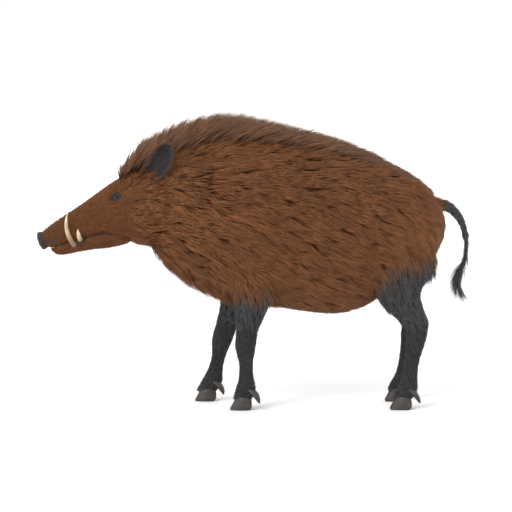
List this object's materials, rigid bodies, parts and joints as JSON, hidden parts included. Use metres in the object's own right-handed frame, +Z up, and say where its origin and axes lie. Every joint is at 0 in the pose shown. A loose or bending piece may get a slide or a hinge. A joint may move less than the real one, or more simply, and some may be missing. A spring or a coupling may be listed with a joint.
{
  "type": "wild boar",
  "caption": "Standing adult male wild boar in winter coat, life size, one forefoot a step ahead, with mane, tusks, upright ears and a hanging tasselled tail.",
  "frame": {"origin": "on the floor under the middle of the bounding box", "axes": "+Z up, the boar faces -X, its left side faces -Y; length runs along X and width along Y"},
  "size_m": [1.5152, 0.3796, 1.0146],
  "materials": {
    "coat": "brown winter bristle over dark underfur",
    "dark_coat": "short dark grey hair",
    "ear": "short dark grey hair over skin",
    "snout": "bare, finely wrinkled, slightly damp skin",
    "hoof": "dark horn, worn at the edge",
    "tusk": "yellowed ivory, polished at the tips",
    "eye": "wet dark brown eye"
  },
  "bodies": {
    "root": {"ear_left": "ear", "ear_right": "ear", "eye_left": "eye", "eye_right": "eye", "fore_left_cannon": "dark_coat", "fore_left_dewclaw_inner": "hoof", "fore_left_dewclaw_outer": "hoof", "fore_left_hoof_inner": "hoof", "fore_left_hoof_outer": "hoof", "fore_left_pastern": "dark_coat", "fore_left_upper": "dark_coat", "fore_right_cannon": "dark_coat", "fore_right_dewclaw_inner": "hoof", "fore_right_dewclaw_outer": "hoof", "fore_right_hoof_inner": "hoof", "fore_right_hoof_outer": "hoof", "fore_right_pastern": "dark_coat", "fore_right_upper": "dark_coat", "head": "coat", "hind_left_cannon": "dark_coat", "hind_left_dewclaw_inner": "hoof", "hind_left_dewclaw_outer": "hoof", "hind_left_hoof_inner": "hoof", "hind_left_hoof_outer": "hoof", "hind_left_pastern": "dark_coat", "hind_left_upper": "dark_coat", "hind_right_cannon": "dark_coat", "hind_right_dewclaw_inner": "hoof", "hind_right_dewclaw_outer": "hoof", "hind_right_hoof_inner": "hoof", "hind_right_hoof_outer": "hoof", "hind_right_pastern": "dark_coat", "hind_right_upper": "dark_coat", "lower_jaw": "coat", "neck": "coat", "snout_disc": "snout", "tail_middle": "dark_coat", "tail_root": "dark_coat", "tail_tassel": "dark_coat", "torso_front": "coat", "torso_rear": "coat", "tusk_lower_left": "tusk", "tusk_lower_right": "tusk", "tusk_upper_left": "tusk", "tusk_upper_right": "tusk"}
  },
  "joints": []
}
